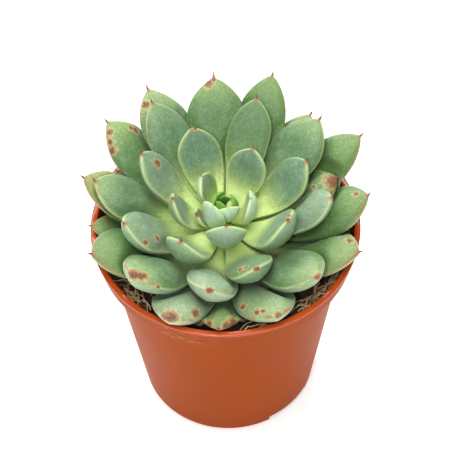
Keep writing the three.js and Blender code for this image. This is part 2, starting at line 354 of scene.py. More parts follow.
# The outline's first rings are the soil's side, which stays plain; the rest are its lumpy top.
side_levels = 3
soil = placed("soil_body", turned(
    "soil_body", soil_outline, soil_sides,
    lambda level, x, y: soil_rise(x, y) if level >= side_levels else 0.0))
soil.data.materials.append(peat)
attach(soil, "root")
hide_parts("soil")

# Loose crumbs of peat and bark lie on the soil where the leaves leave it in view.
# Their density is a number to the square metre.
crumb_inner_radius = 24.0
crumb_outer_radius = soil_edge - 1.0
crumb_size = 0.6
crumb_density = 260000.0


def growing_tree(name, sizes):
    """An empty Geometry Nodes tree with the named sizes as inputs, and the outputs that give them."""
    tree = bpy.data.node_groups.new(name, "GeometryNodeTree")
    tree.interface.new_socket("Geometry", in_out="INPUT", socket_type="NodeSocketGeometry")
    for size in sizes:
        tree.interface.new_socket(size, in_out="INPUT", socket_type="NodeSocketFloat")
    tree.interface.new_socket("Geometry", in_out="OUTPUT", socket_type="NodeSocketGeometry")
    return tree, add(tree, "NodeGroupInput").outputs


def from_axis(tree):
    """How far each point lies from the pot's axis."""
    position = add(tree, "GeometryNodeInputPosition").outputs[0]
    flat = add(tree, "ShaderNodeVectorMath", {0: position, 1: (1, 1, 0)}, operation="MULTIPLY")
    return add(tree, "ShaderNodeVectorMath", {0: flat.outputs[0]}, operation="LENGTH").outputs["Value"]


def facing_up(tree):
    """Whether each face looks up."""
    normal = add(tree, "ShaderNodeSeparateXYZ", {0: add(tree, "GeometryNodeInputNormal").outputs[0]})
    return add(tree, "FunctionNodeCompare", {0: normal.outputs["Z"], 1: 0.4},
               data_type="FLOAT", operation="GREATER_THAN").outputs[0]


def crumb_tree(material):
    """Scatters rough grains on the upward faces between two radii."""
    tree, given = growing_tree("loose_crumbs", ("Inner Radius", "Outer Radius", "Grain Size", "Density"))
    radius = from_axis(tree)
    outside = add(tree, "FunctionNodeCompare", {0: radius, 1: given["Inner Radius"]},
                  data_type="FLOAT", operation="GREATER_THAN")
    shown = add(tree, "FunctionNodeBooleanMath", {0: outside.outputs[0], 1: facing_up(tree)}, operation="AND")
    every = add(tree, "GeometryNodeDistributePointsOnFaces", {
        "Mesh": given["Geometry"], "Selection": shown.outputs[0], "Density": given["Density"], "Seed": 5})
    past = add(tree, "FunctionNodeCompare", {0: radius, 1: given["Outer Radius"]},
               data_type="FLOAT", operation="GREATER_THAN")
    points = add(tree, "GeometryNodeDeleteGeometry", {
        "Geometry": every.outputs["Points"], "Selection": past.outputs[0]}, domain="POINT")
    grain = add(tree, "GeometryNodeMeshIcoSphere", {"Radius": given["Grain Size"], "Subdivisions": 1})
    size = add(tree, "FunctionNodeRandomValue", {0: (0.35, 0.35, 0.25), 1: (1.7, 1.4, 0.9), "Seed": 1},
               data_type="FLOAT_VECTOR")
    turn = add(tree, "FunctionNodeRandomValue", {0: (0, 0, 0), 1: (6.28, 6.28, 6.28), "Seed": 2},
               data_type="FLOAT_VECTOR")
    tone = add(tree, "FunctionNodeRandomValue", {2: 0.0, 3: 1.0, "Seed": 3}, data_type="FLOAT")
    placed_grains = add(tree, "GeometryNodeInstanceOnPoints", {
        "Points": points.outputs[0], "Instance": grain.outputs["Mesh"],
        "Rotation": turn.outputs[0], "Scale": size.outputs[0]})
    toned = add(tree, "GeometryNodeStoreNamedAttribute", {
        "Geometry": placed_grains.outputs[0], "Name": "tone", "Value": tone.outputs[1]},
        data_type="FLOAT", domain="INSTANCE")
    real = add(tree, "GeometryNodeRealizeInstances", {0: toned.outputs[0]})
    rough = add(tree, "ShaderNodeTexNoise", {"Scale": 1100.0, "Detail": 1.0})
    centred = add(tree, "ShaderNodeVectorMath", {
        0: rough.outputs["Color"], 1: (0.5, 0.5, 0.5)}, operation="SUBTRACT")
    offset = add(tree, "ShaderNodeVectorMath", {0: centred.outputs[0], "Scale": 0.0011}, operation="SCALE")
    bent = add(tree, "GeometryNodeSetPosition", {"Geometry": real.outputs[0], "Offset": offset.outputs[0]})
    done = add(tree, "GeometryNodeSetMaterial", {"Geometry": bent.outputs[0], "Material": material})
    add(tree, "NodeGroupOutput", {"Geometry": done.outputs[0]})
    return tree


def grown(name, source, tree, **values):
    """A plain mesh made by a tree of Geometry Nodes on a copy of the source's mesh."""
    made = bpy.data.objects.new(name, source.data.copy())
    bpy.context.scene.collection.objects.link(made)
    made.data.materials.clear()
    modifier = made.modifiers.new(name, "NODES")
    modifier.node_group = tree
    for socket in tree.interface.items_tree:
        if socket.in_out == "INPUT" and socket.name in values:
            modifier[socket.identifier] = values[socket.name]
    return placed(name, finished(made))


crumbs = grown("soil_crumbs", soil, crumb_tree(peat), **{
    "Inner Radius": crumb_inner_radius * MM, "Outer Radius": crumb_outer_radius * MM,
    "Grain Size": crumb_size * MM, "Density": crumb_density})
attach(crumbs, "root")

# Dry moss and coir fibres: pale, thin and curled, in two tufts that lie along the wall at
# the front, with a few strays along the rest of it. A tuft has the direction of its middle
# and half its length in degrees. The stalks keep inside the wall and above the ledge in it.
tuft_places = ((221.0, 14.0), (321.0, 17.0))
tuft_radius = 47.3
tuft_width = 4.0
stray_share = 0.02
fibre_density = 600000.0
fibre_thickness = 0.26
fibre_size = 9.5
fibre_limit = 48.5
fibre_ground = soil_level + 1.7


def dry_moss():
    """Dry moss stalks: brown to straw beige, each in its own tone, and dull."""
    material, tree, shader = new_material("dry_moss")
    tone = add(tree, "ShaderNodeAttribute", attribute_name="tone")
    colour = add(tree, "ShaderNodeMix", {
        "Factor": tone.outputs["Fac"], 6: linear("#8c5f34"), 7: linear("#f0d3a2")}, data_type="RGBA")
    tree.links.new(colour.outputs[2], shader.inputs["Base Color"])
    shader.inputs["Roughness"].default_value = 0.85
    return material


def fibre_tree(material):
    """Lays curled stalks where the attribute named tuft says."""
    tree, given = growing_tree("moss_fibres", (
        "Fibre Size", "Fibre Thickness", "Furthest Radius", "Ground", "Density"))
    tuft = add(tree, "GeometryNodeInputNamedAttribute", {"Name": "tuft"}, data_type="FLOAT")
    density = add(tree, "ShaderNodeMath", {
        0: tuft.outputs["Attribute"], 1: given["Density"]}, operation="MULTIPLY")
    points = add(tree, "GeometryNodeDistributePointsOnFaces", {
        "Mesh": given["Geometry"], "Selection": facing_up(tree), "Density": density.outputs[0], "Seed": 11})
    stalk = add(tree, "GeometryNodeCurveQuadraticBezier", {
        "Resolution": 9, "Start": (-0.5, 0, 0), "Middle": (0, 0.25, 0.1), "End": (0.5, 0, 0)})
    # Most stalks lie along the wall, and each turns aside by an amount of its own.
    start = add(tree, "ShaderNodeSeparateXYZ", {0: add(tree, "GeometryNodeInputPosition").outputs[0]})
    toward = add(tree, "ShaderNodeMath", {0: start.outputs["Y"], 1: start.outputs["X"]}, operation="ARCTAN2")
    along_wall = add(tree, "ShaderNodeCombineXYZ", {2: toward.outputs[0]})
    aside = add(tree, "FunctionNodeRandomValue", {0: (-0.4, -0.4, 0.8), 1: (0.4, 0.4, 2.4), "Seed": 4},
                data_type="FLOAT_VECTOR")
    turn = add(tree, "ShaderNodeVectorMath", {0: along_wall.outputs[0], 1: aside.outputs[0]}, operation="ADD")
    share_of_size = add(tree, "FunctionNodeRandomValue", {2: 0.35, 3: 1.4, "Seed": 5}, data_type="FLOAT")
    size = add(tree, "ShaderNodeMath", {
        0: share_of_size.outputs[1], 1: given["Fibre Size"]}, operation="MULTIPLY")
    tone = add(tree, "FunctionNodeRandomValue", {2: 0.0, 3: 1.0, "Seed": 6}, data_type="FLOAT")
    laid = add(tree, "GeometryNodeInstanceOnPoints", {
        "Points": points.outputs["Points"], "Instance": stalk.outputs["Curve"],
        "Rotation": turn.outputs[0], "Scale": size.outputs[0]})
    toned = add(tree, "GeometryNodeStoreNamedAttribute", {
        "Geometry": laid.outputs[0], "Name": "tone", "Value": tone.outputs[1]},
        data_type="FLOAT", domain="INSTANCE")
    real = add(tree, "GeometryNodeRealizeInstances", {0: toned.outputs[0]})
    wander = add(tree, "ShaderNodeTexNoise", {"Scale": 220.0, "Detail": 2.0})
    centred = add(tree, "ShaderNodeVectorMath", {
        0: wander.outputs["Color"], 1: (0.5, 0.5, 0.3)}, operation="SUBTRACT")
    offset = add(tree, "ShaderNodeVectorMath", {0: centred.outputs[0], "Scale": 0.0035}, operation="SCALE")
    bent = add(tree, "GeometryNodeSetPosition", {"Geometry": real.outputs[0], "Offset": offset.outputs[0]})
    # Stalks that would run through the pot's wall are drawn in along it, and lifted off its ledge.
    place = add(tree, "GeometryNodeInputPosition").outputs[0]
    share = add(tree, "ShaderNodeMath", {0: given["Furthest Radius"], 1: from_axis(tree)}, operation="DIVIDE")
    kept = add(tree, "ShaderNodeMath", {0: share.outputs[0], 1: 1.0}, operation="MINIMUM")
    narrowed = add(tree, "ShaderNodeCombineXYZ", {0: kept.outputs[0], 1: kept.outputs[0], 2: 1.0})
    drawn = add(tree, "ShaderNodeVectorMath", {0: place, 1: narrowed.outputs[0]}, operation="MULTIPLY")
    ground = add(tree, "ShaderNodeCombineXYZ", {0: -1.0, 1: -1.0, 2: given["Ground"]})
    inside = add(tree, "ShaderNodeVectorMath", {
        0: drawn.outputs[0], 1: ground.outputs[0]}, operation="MAXIMUM")
    held = add(tree, "GeometryNodeSetPosition", {"Geometry": bent.outputs[0], "Position": inside.outputs[0]})
    section = add(tree, "GeometryNodeCurvePrimitiveCircle", {
        "Resolution": 5, "Radius": given["Fibre Thickness"]})
    solid = add(tree, "GeometryNodeCurveToMesh", {
        "Curve": held.outputs[0], "Profile Curve": section.outputs["Curve"], "Fill Caps": True})
    done = add(tree, "GeometryNodeSetMaterial", {"Geometry": solid.outputs[0], "Material": material})
    add(tree, "NodeGroupOutput", {"Geometry": done.outputs[0]})
    return tree


tuft_values = []
for vertex in soil.data.vertices:
    x, y = vertex.co.x / MM, vertex.co.y / MM
    radius = math.hypot(x, y)
    direction = math.degrees(math.atan2(y, x)) % 360
    from_ring = (radius - tuft_radius) / tuft_width
    nearness = max(1 - math.hypot((direction - middle) / half, from_ring) for middle, half in tuft_places)
    by_the_wall = dish_radius < radius < soil_edge - 1
    tuft_values.append(stray_share + max(nearness, 0.0) if by_the_wall else 0.0)
tuft_attribute = soil.data.attributes.new("tuft", "FLOAT", "POINT")
tuft_attribute.data.foreach_set("value", tuft_values)
fibres = grown("moss_fibres", soil, fibre_tree(dry_moss()), **{
    "Fibre Size": fibre_size * MM, "Fibre Thickness": fibre_thickness * MM,
    "Furthest Radius": fibre_limit * MM, "Ground": fibre_ground * MM, "Density": fibre_density})
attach(fibres, "root")

# The stem: short, thick and woody, ringed by the scars of shed leaves, rooted in the soil.
# The leaves hide nearly all of it.
stem_radius = 5.8
stem_foot = soil_level - 24.0
stem_top = pot_top + 7.0
stem_foot_height = 4.0
stem_taper_start = pot_top - 4.0
scar_ring_depth = 0.12
stem_steps = 40
stem_sides = 48


def stem_skin():
    """Corky green-brown stem skin, dull and finely cracked."""
    material, tree, shader = new_material("stem_skin")
    place = add(tree, "ShaderNodeTexCoord").outputs["Object"]
    cork = add(tree, "ShaderNodeTexNoise", {"Vector": place, "Scale": 420.0, "Detail": 5.0})
    colour = add(tree, "ShaderNodeMix", {
        "Factor": cork.outputs["Fac"], 6: linear("#4d4a26"), 7: linear("#8c8a52")}, data_type="RGBA")
    tree.links.new(colour.outputs[2], shader.inputs["Base Color"])
    relief = add(tree, "ShaderNodeBump", {"Height": cork.outputs["Fac"], "Strength": 0.5, "Distance": 0.0005})
    tree.links.new(relief.outputs[0], shader.inputs["Normal"])
    shader.inputs["Roughness"].default_value = 0.75
    return material


stem_outline = [Vector((0, stem_foot)), Vector((0.6 * stem_radius, stem_foot))]
for step in range(stem_steps + 1):
    t = step / stem_steps
    height = stem_foot + stem_foot_height + t * (stem_top - stem_foot - stem_foot_height)
    taper = 1 - 0.66 * max(0.0, (height - stem_taper_start) / (stem_top - stem_taper_start)) ** 1.3
    stem_outline.append(Vector((stem_radius * taper + scar_ring_depth * math.sin(9 * t * math.pi), height)))
stem_outline.append(Vector((0, stem_top)))
stem = placed("stem_body", turned("stem_body", stem_outline, stem_sides))
stem.data.materials.append(stem_skin())
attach(stem, "root")
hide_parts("stem")

# The leaves: thick, fleshy and pointed, dished above and keeled below, in a rising spiral.
# A film of grey wax covers them, rubbed off along the margins and where they touch.
# Rows in degrees and millimetres, youngest leaf first: direction, reach, tip over the rim,
# width, slope at the tip, roll.
leaf_rows = (
    (223, 6, 18, 12, 98, 0),
    (352, 10, 18, 14, 92, 0),
    (197, 11, 12, 9, 90, 0),
    (128, 14, 17, 14, 76, 35),
    (271, 16, 20, 16, 98, 0),
    (60, 23, 22, 16, 66, 0),
    (188, 20, 21, 14, 88, 0),
    (233, 28, 20, 18, 100, 0),
    (327, 28, 22, 20, 84, 0),
    (112, 32, 24, 17.4, 62, 0),
    (21, 34, 23, 18, 66, 0),
    (151, 36, 24, 17, 70, 12),
    (288, 37, 19, 18, 72, 12),
    (72, 44, 26, 17, 54, 0),
    (354, 41, 21, 18, 62, 0),
    (201, 41, 22, 20, 70, 0),
    (123, 50, 25, 18, 48, 0),
    (260, 43, 16, 20, 66, -14),
    (41, 50, 23, 22, 48, 0),
    (172, 50, 21, 20, 56, 0),
    (312, 51, 17, 22, 54, 0),
    (226, 51, 20, 23, 66, 0),
    (93, 57, 22, 24, 38, 0),
    (17, 46, 11, 20, 36, 0),
    (119, 60, 21, 21, 36, 0),
    (70, 59, 24, 20, 36, 0),
    (140, 59, 19, 21, 36, 0),
    (1, 55, 15, 22, 54, 0),
    (166, 56, 15, 21, 42, 0),
    (336, 55, 10, 24, 40, 0),
    (202, 55, 11, 25, 42, 0),
    (50, 54, 16, 19, 40, 0),
    (291, 53, 8, 23, 46, 0),
    (245, 54, 8, 22, 50, 0),
    (27, 60, 19, 21, 34, 0),
    (107, 51, 10, 19, 34, 0),
    (181, 52, 3, 17, 24, 0),
    (266, 51, 3, 20, 32, 0),
    (80, 48, 7, 18, 30, 0),
    (150, 48, 5, 18, 28, 0),
)
youngest_base = 5.0
oldest_base = -6.0
lean = 9.0
leaf_thickness = 0.32
leaf_cup = 0.12
young_pad = 0.05
old_pad = 0.21
widest_at = 0.68
base_width = 0.34
thinnest = 0.75
leaf_stations = 64
leaf_sides = 56
rim_clearance = 0.2
touch_gap = 0.15
deepest_press = 4.5
imprint_depth = 0.9
# The spine's rings: how far past the leaf's last ring, and how wide against it. They and its
# length are for a leaf 15 mm wide.
point_steps = ((0.3, 0.76), (0.6, 0.56), (0.9, 0.4), (1.2, 0.27), (1.45, 0.15))
point_length = 1.6
point_rise = 0.3
point_width = 15.0


def eased(x, low, high):
    """Rises from 0 at low to 1 at high with soft ends."""
    t = np.clip((x - low) / (high - low), 0, 1)
    return t * t * (3 - 2 * t)


def width_at(s):
    """A leaf's width at each fraction of its length, against its widest."""
    swelling = base_width + (1 - base_width) * np.sin(0.5 * np.pi * np.minimum(s / widest_at, 1)) ** 1.8
    u = np.clip((s - widest_at) / (1 - widest_at), 0, 1)
    return np.where(s < widest_at, swelling, (1 - u ** 2.4) ** 0.8)


def thickness_at(s):
    """A leaf's thickness at each fraction of its length, against its thickest."""
    rising = 0.5 + 0.5 * np.sin(0.5 * np.pi * np.minimum(s / 0.6, 1))
    falling = (1 - np.clip((s - 0.6) / 0.4, 0, 1) ** 2.4) ** 0.6
    return np.where(s < 0.6, rising, falling)


def leaf_form(row, base_height, stations, sides, seed):
    """A leaf's rings of points, its upper direction, its facts for the skin, and its thickness."""
    direction, reach, tip_height, width, tip_slope, roll = row
    turn = math.radians(direction)
    outward = np.array([math.cos(turn), math.sin(turn), 0.0])
    sideways = np.array([-math.sin(turn), math.cos(turn), 0.0])
    up = np.array([0.0, 0.0, 1.0])
    base = outward * (2 + 3.4 * min(1, reach / 50)) + up * (pot_top + base_height)
    tip = outward * reach + up * (pot_top + tip_height)
    handle = 0.38 * np.linalg.norm(tip - base)
    base_slope = math.radians(lean * math.sin(turn) + max(0, 24 - reach))
    end_slope = math.radians(tip_slope)
    bend = [base, base + handle * (outward * math.cos(base_slope) + up * math.sin(base_slope)),
            tip - handle * (outward * math.cos(end_slope) + up * math.sin(end_slope)), tip]
    s = (1 - (1 - np.linspace(0, 1, stations)) ** 1.6)[:, None]
    centre = ((1 - s) ** 3 * bend[0] + 3 * (1 - s) ** 2 * s * bend[1]
              + 3 * (1 - s) * s * s * bend[2] + s ** 3 * bend[3])
    forward = ((1 - s) ** 2 * (bend[1] - bend[0]) + 2 * (1 - s) * s * (bend[2] - bend[1])
               + s * s * (bend[3] - bend[2]))
    forward /= np.linalg.norm(forward, axis=1)[:, None]
    flat = np.cross(forward, sideways)
    lay = math.radians(roll)
    across = sideways * math.cos(lay) + flat * math.sin(lay)
    upper = flat * math.cos(lay) - sideways * math.sin(lay)
    draw = random.Random(seed)
    phase = [draw.uniform(0, 6.28) for _ in range(4)]
    theta = np.linspace(0, 2 * np.pi, sides, endpoint=False)[None, :]
    u = np.sign(np.cos(theta)) * np.abs(np.cos(theta)) ** 0.85
    v = np.sign(np.sin(theta)) * np.abs(np.sin(theta)) ** 0.85
    wave = 1 + 0.02 * np.sin(8 * s + phase[0] + 1.3 * u) + 0.012 * np.sin(15 * s + phase[1] - u)
    half = np.maximum(0.5 * width * width_at(s), 0.03 * width)
    deep = np.maximum(leaf_thickness * width * thickness_at(s), thinnest)
    at_tip = eased(s, 0.5, 0.92)
    crown = 0.12 + 0.18 * at_tip
    cup = leaf_cup * width * width_at(s) * np.sin(0.62 * np.pi * s) ** 1.2 * (1 - 0.5 * at_tip)
    keel = 0.65 * np.abs(v) + 0.35 * (1 - np.abs(u))
    uneven = 0.014 * width * np.sin(7 * s + phase[2]) * np.sin(2.5 * u + phase[3])
    rise = np.where(v > 0, crown * deep * v, -(1 - crown) * deep * keel)
    rise = rise + cup * u * u + uneven * eased(s, 0.0, 0.3) * eased(1 - s, 0.0, 0.2)
    points = (centre[:, None, :] + across[:, None, :] * (half * u * wave)[:, :, None]
              + upper[:, None, :] * rise[:, :, None])
    facts = {
        "along": np.broadcast_to(s, points.shape[:2]),
        "across": np.broadcast_to(u, points.shape[:2]),
        "upper": np.broadcast_to(np.clip(0.5 + 2 * v, 0, 1), points.shape[:2]),
        "length": np.linalg.norm(np.diff(centre, axis=0), axis=1).sum(),
        "width": width,
        "forward": forward[-1],
    }
    return points, np.broadcast_to(upper[:, None, :], points.shape), facts, deep


def smoothed(field, passes):
    """The field with each value evened out with those round it."""
    for _ in range(passes):
        padded = np.pad(field, 1, mode="edge")
        field = (padded[:-2, 1:-1] + padded[2:, 1:-1] + padded[1:-1, :-2] + padded[1:-1, 2:]
                 + 2 * field) / 6
    return field


def give_way(points, upper, deep, facts, pad_height, younger):
    """Presses a leaf down where a younger one lies on it, and swells it where it is free."""
    sides = points.shape[1]
    half = sides // 2
    below = float(deep.max()) + 5.0
    gap = np.full((points.shape[0], half + 1), 5.0)
    free = np.full((points.shape[0], half + 1), 9.0)
    low, high = points.min(axis=(0, 1)) - 9, points.max(axis=(0, 1)) + 9
    near = [tree for tree, box_low, box_high in younger
            if np.all(box_high > low) and np.all(box_low < high)]
    for i in range(1, points.shape[0]):
        direction = Vector(upper[i, 0])
        for k in range(half + 1):
            point = Vector(points[i, k])
            start = point - direction * below
            for tree in near:
                _, _, _, away = tree.find_nearest(point, free[i, k])
                if away is not None:
                    free[i, k] = away
                    hit, _, _, distance = tree.ray_cast(start, direction, below + 5.0)
                    if hit is not None:
                        gap[i, k] = min(gap[i, k], distance - below)
    press = np.clip(touch_gap - gap, 0, deepest_press)
    press = np.maximum(press, smoothed(press, 4))
    imprint = smoothed(eased(gap, 3.2, 0.8), 5)
    s, u = facts["along"][:, :half + 1], facts["across"][:, :half + 1]
    grown_free = smoothed(np.where(gap < 0, 0, free), 3)
    pad = (pad_height * eased(grown_free, 1.5, 5.5) * eased(s, 0.3, 0.6)
           * (1 - np.clip((s - 0.74) / 0.26, 0, 1) ** 2) * (1 - np.abs(u) ** 3) ** 0.8)
    drop = press + imprint_depth * facts["width"] / 20 * imprint - pad
    formed = points.copy()
    formed[:, :half + 1] -= upper[:, :half + 1] * drop[:, :, None]
    for k in range(half + 1, sides):
        over = sides - k
        thick = ((points[:, over] - points[:, k]) * upper[:, k]).sum(axis=1)
        formed[:, k] -= upper[:, k] * np.maximum(drop[:, over] - 0.45 * thick, 0)[:, None]
    return formed, np.concatenate([imprint, imprint[:, 1:-1][:, ::-1]], axis=1)


def ring_faces(rings, sides):
    """Faces of a closed tube of rings, with a point at either end."""
    faces = []
    for i in range(rings - 1):
        for k in range(sides):
            j = (k + 1) % sides
            faces.append((i * sides + k, i * sides + j, (i + 1) * sides + j, (i + 1) * sides + k))
    start, end = rings * sides, rings * sides + 1
    for k in range(sides):
        j = (k + 1) % sides
        faces.append((start, j, k))
        faces.append((end, (rings - 1) * sides + k, (rings - 1) * sides + j))
    return faces


def leaf_mesh(name, points, facts, age, seed, point_size):
    """The finished mesh of a leaf, with the short spine at its tip and what its skin reads."""
    stations, sides = points.shape[:2]
    last = points[-1]
    middle = last.mean(axis=0)
    forward = facts["forward"]
    rings = [points]
    for distance, share in point_steps:
        centre = middle + (forward * distance + np.array([0, 0, 0.1 * distance * distance])) * point_size
        rings.append((centre + (last - middle) * share)[None])
    end = middle + (forward * point_length + np.array([0, 0, point_rise])) * point_size
    extra = len(point_steps)
    everywhere = np.concatenate([
        np.concatenate(rings).reshape(-1, 3), points[0].mean(axis=0)[None], end[None]])
    mesh = bpy.data.meshes.new(name)
    mesh.from_pydata((everywhere * MM).tolist(), [], ring_faces(stations + extra, sides))
    to_margin = np.minimum(np.linalg.norm(points - points[:, :1], axis=2),
                           np.linalg.norm(points - points[:, sides // 2:sides // 2 + 1], axis=2))
    to_tip = np.linalg.norm(points - middle, axis=2)
    for key, field in (("along", facts["along"]), ("across", facts["across"]), ("upper", facts["upper"]),
                       ("edge", to_margin), ("tip", to_tip), ("imprint", facts["imprint"]),
                       ("scar", facts["scar"])):
        rows = np.concatenate([field, np.repeat(field[-1:], extra, axis=0)])
        if key == "tip":
            rows[stations:] = -np.array([distance for distance, _ in point_steps])[:, None]
        values = np.concatenate([rows.ravel(), [field[0].mean(), rows[-1].mean()]])
        mesh.attributes.new(key, "FLOAT", "POINT").data.foreach_set("value", values.astype(np.float32))
    for key, value in (("age", age), ("tint", random.Random(seed).random()), ("wax", facts["wax"])):
        mesh.attributes.new(key, "FLOAT", "POINT").data.foreach_set(
            "value", np.full(len(everywhere), value, dtype=np.float32))
    return mesh


def waxy_leaf_skin():
    """Echeveria leaf: green flesh under a dull grey-blue wax, pale margins and red-brown tip."""
    material, tree, shader = new_material("waxy_leaf_skin")
    place = add(tree, "ShaderNodeTexCoord").outputs["Object"]
    fields = {key: add(tree, "ShaderNodeAttribute", attribute_name=key).outputs["Fac"]
              for key in ("along", "across", "edge", "tip", "upper", "age", "tint", "wax", "scar", "imprint")}
    # Cloudy patches of wax about 3 mm across, a mottle of about 1 mm, and a grain of 0.6 mm.
    for key, scale, detail in (("cloud", 340.0, 3.0), ("mottle", 1100.0, 4.0), ("grain", 1700.0, 3.0)):
        fields[key] = add(tree, "ShaderNodeTexNoise", {
            "Vector": place, "Scale": scale, "Detail": detail}).outputs["Fac"]
    # A net of fine cracks in the wax, where the green shows, with meshes of about 2 mm.
    cracks = add(tree, "ShaderNodeTexNoise", {"Vector": place, "Scale": 520.0, "Detail": 2.0})
    away = add(tree, "ShaderNodeMath", {0: cracks.outputs["Fac"], 1: 0.5}, operation="SUBTRACT")
    fields["crack"] = add(tree, "ShaderNodeMath", {0: away.outputs[0]}, operation="ABSOLUTE").outputs[0]
    # Faint streaks run along each leaf, as the wax forms over its veins.
    lengthwise = add(tree, "ShaderNodeCombineXYZ", {
        0: fields["across"], 1: fields["along"], 2: fields["tint"]})
    stretched = add(tree, "ShaderNodeVectorMath", {
        0: lengthwise.outputs[0], 1: (7.0, 1.6, 40.0)}, operation="MULTIPLY")
    fields["streak"] = add(tree, "ShaderNodeTexNoise", {
        "Vector": stretched.outputs[0], "Scale": 1.0, "Detail": 3.0}).outputs["Fac"]
    uneven = add(tree, "ShaderNodeMath", {0: fields["mottle"], 1: 0.5}, operation="SUBTRACT")
    fields["sore"] = add(tree, "ShaderNodeMath", {0: uneven.outputs[0], 1: 1.8, 2: fields["scar"]},
                         operation="MULTIPLY_ADD").outputs[0]
    # Coats of colour, one over another: the colour, how much of it, and where it lies, which
    # says of each fact where the coat begins and where it is whole.
    coats = (
        ("#9bb45c", 1.0, (("age", 0.75, 0.1),)),
        ("#dcef95", 0.95, (("along", 0.68, 0.24), ("age", 1.0, 0.25))),
        ("#416c1f", 0.72, (("along", 0.3, 0.5), ("along", 0.98, 0.82), ("upper", 0.4, 0.8),
                           ("age", 0.2, 0.6))),
        ("#54786b", 0.8, (("along", 0.34, 0.7), ("edge", 0.2, 2.2), ("upper", 0.3, 0.7), ("age", 0.75, 0.2))),
        ("#7fa08a", 0.75, (("along", 0.25, 0.6), ("upper", 0.7, 0.3), ("age", 1.4, 0.2))),
        ("#aac54a", 0.5, (("along", 0.5, 0.2), ("upper", 0.7, 0.3))),
        ("#c4dfc2", 0.8, (("along", 0.05, 0.3), ("upper", 0.7, 0.3), ("age", 0.16, 0.04))),
        ("#bcd272", 0.55, (("edge", 2.4, 0.3), ("upper", 0.6, 0.2), ("age", 0.25, 0.1))),
        # Painted glow: the lower halves of the youngest leaves' upper faces are yellow-green, partly their
        # own young colour and partly painted light passed through the leaves into the crevices of the centre.
        ("#9db53a", 0.6, (("along", 0.95, 0.5), ("upper", 0.3, 0.7), ("age", 0.16, 0.06))),
        ("#9ab68f", 0.22, (("cloud", 0.45, 0.65), ("along", 0.3, 0.6), ("age", 1.6, 0.4))),
        ("#5b862c", 0.28, (("cloud", 0.5, 0.34), ("along", 0.25, 0.6), ("age", -0.1, 0.3))),
        # Painted light: older leaves are paler toward the tip, for the light that falls on the swollen pads
        # near their tips.
        ("#b3c87c", 0.4, (("along", 0.76, 0.95), ("age", 0.3, 0.6))),
        ("#4f7433", 0.3, (("streak", 0.54, 0.34), ("along", 0.3, 0.7), ("along", 1.0, 0.8),
                          ("upper", 0.4, 0.8))),
        ("#9ab864", 0.4, (("streak", 0.52, 0.36), ("upper", 0.7, 0.3), ("age", 0.7, 0.2))),
        ("#8fb052", 0.45, (("imprint", 0.1, 0.9), ("along", 0.75, 0.35))),
        ("#c3d2ba", 0.6, (("wax", 0.0, 1.0), ("along", 0.3, 0.6))),
        ("#557a26", 0.6, (("wax", 0.0, -1.0), ("along", 0.2, 0.5))),
        ("#aaa34c", 0.6, (("wax", -1.0, -2.0),)),
        ("#c9dcb4", 0.15, (("mottle", 0.5, 0.72),)),
        ("#48692f", 0.28, (("mottle", 0.48, 0.3), ("age", -0.3, 0.6))),
        ("#446d35", 0.3, (("grain", 0.5, 0.36), ("along", 0.2, 0.5), ("upper", 0.3, 0.7), ("age", 0.0, 0.2))),
        ("#43682f", 0.3, (("crack", 0.045, 0.0), ("along", 0.15, 0.45), ("age", -0.1, 0.3))),
        ("#a8c4cc", 0.05, (("along", 0.1, 0.3), ("age", -0.1, 0.1))),
        ("#b9cc88", 0.3, (("edge", 1.2, 0.2), ("along", 0.3, 0.6), ("age", 0.8, 0.2))),
        ("#e0ecbc", 0.38, (("edge", 0.6, 0.2), ("along", 0.3, 0.6), ("age", 0.75, 0.4))),
        ("#b8955f", 0.5, (("edge", 1.4, 0.1), ("along", 0.6, 0.9), ("age", 0.4, 0.8), ("cloud", 0.35, 0.6))),
        ("#9c6448", 0.7, (("edge", 0.7, 0.2), ("along", 0.75, 0.97), ("age", 0.4, 0.55),
                          ("cloud", 0.45, 0.6))),
        ("#a4624c", 0.75, (("tip", 2.0, 0.7), ("age", 0.02, 0.2))),
        ("#72342a", 0.9, (("tip", 0.7, -0.4), ("age", 0.0, 0.15))),
        ("#5f981a", 0.95, (("age", -0.02, -0.15), ("upper", 0.3, 0.7), ("edge", 0.0, 0.6))),
        ("#69a121", 0.9, (("age", -0.2, -0.3),)),
        ("#cdc78c", 0.4, (("sore", -0.6, -0.15),)),
        ("#a9744f", 0.8, (("sore", -0.2, 0.1),)),
        ("#6b3d26", 0.8, (("sore", 0.15, 0.5),)),
        ("#bd8d66", 0.6, (("sore", 0.35, 0.5), ("grain", 0.55, 0.65))),
    )
    colour = linear("#6e8a38")
    for tone, strength, places in coats:
        cover = strength
        for key, bare, whole in places:
            cover = add(tree, "ShaderNodeMapRange", {
                "Value": fields[key], "From Min": bare, "From Max": whole, "To Max": cover},
                interpolation_type="SMOOTHSTEP").outputs[0]
        colour = add(tree, "ShaderNodeMix", {"Factor": cover, 6: colour, 7: linear(tone)},
                     data_type="RGBA").outputs[2]
    tree.links.new(colour, shader.inputs["Base Color"])
    dull = add(tree, "ShaderNodeMapRange", {
        "Value": fields["cloud"], "From Min": 0.3, "From Max": 0.7, "To Min": 0.36, "To Max": 0.5})
    tree.links.new(dull.outputs[0], shader.inputs["Roughness"])
